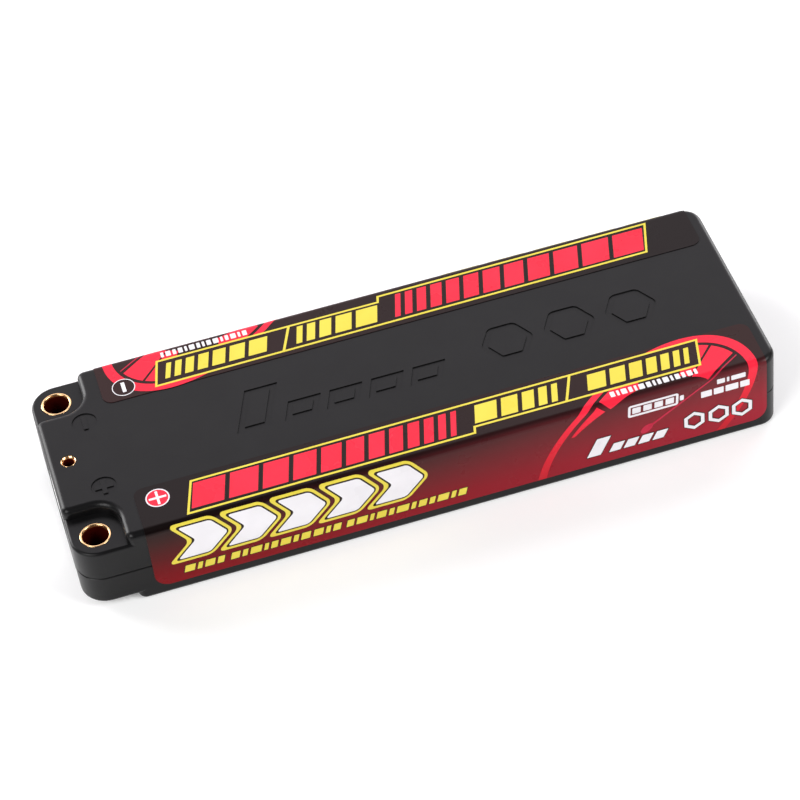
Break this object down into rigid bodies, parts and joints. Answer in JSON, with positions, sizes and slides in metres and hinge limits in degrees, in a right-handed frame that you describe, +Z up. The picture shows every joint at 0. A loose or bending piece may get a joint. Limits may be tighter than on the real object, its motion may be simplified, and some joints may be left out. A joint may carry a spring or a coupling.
{
  "type": "lithium polymer battery pack",
  "caption": "Flat hard-case battery pack for a model car, with recessed round power sockets and a small balance socket at one end and a film label on each long side.",
  "frame": {"origin": "centre of the case's underside, on the surface it stands on", "axes": "+X along the case towards the plain end, the sockets are at -X; the positive side faces -Y; +Z is up"},
  "size_m": [0.1396, 0.0468, 0.0181],
  "materials": {
    "case_plastic": "fine satin texture",
    "gilt_brass": "bright gilding",
    "printed_film": "glossy printed film",
    "white_label": "plain white film",
    "pouch_foil": "laminated foil",
    "tab_aluminium": "bare",
    "tab_nickel": "nickel plated",
    "board_laminate": "green laminate",
    "bus_copper": "bare copper",
    "solder": "solder",
    "wire_silicone": "silicone jacket",
    "foam": "closed-cell foam",
    "insulator_sheet": "thin sheet"
  },
  "bodies": {
    "root": {"upper_case": "case_plastic", "lower_case": "case_plastic", "positive_socket": "gilt_brass", "negative_socket": "gilt_brass", "balance_socket": "gilt_brass", "front_label": "printed_film", "back_label": "printed_film", "end_label": "white_label", "lower_cell": "pouch_foil", "upper_cell": "pouch_foil", "lower_positive_tab": "tab_aluminium", "upper_positive_tab": "tab_aluminium", "lower_negative_tab": "tab_nickel", "upper_negative_tab": "tab_nickel", "terminal_board": "board_laminate", "positive_bus": "bus_copper", "negative_bus": "bus_copper", "series_link": "bus_copper", "balance_wire": "wire_silicone", "socket_solder": "solder", "bus_solder": "solder", "balance_solder": "solder", "bottom_pad": "foam", "middle_pad": "foam", "top_pad": "foam", "end_pad": "foam", "side_pads": "foam", "tab_insulator": "insulator_sheet"}
  },
  "joints": []
}
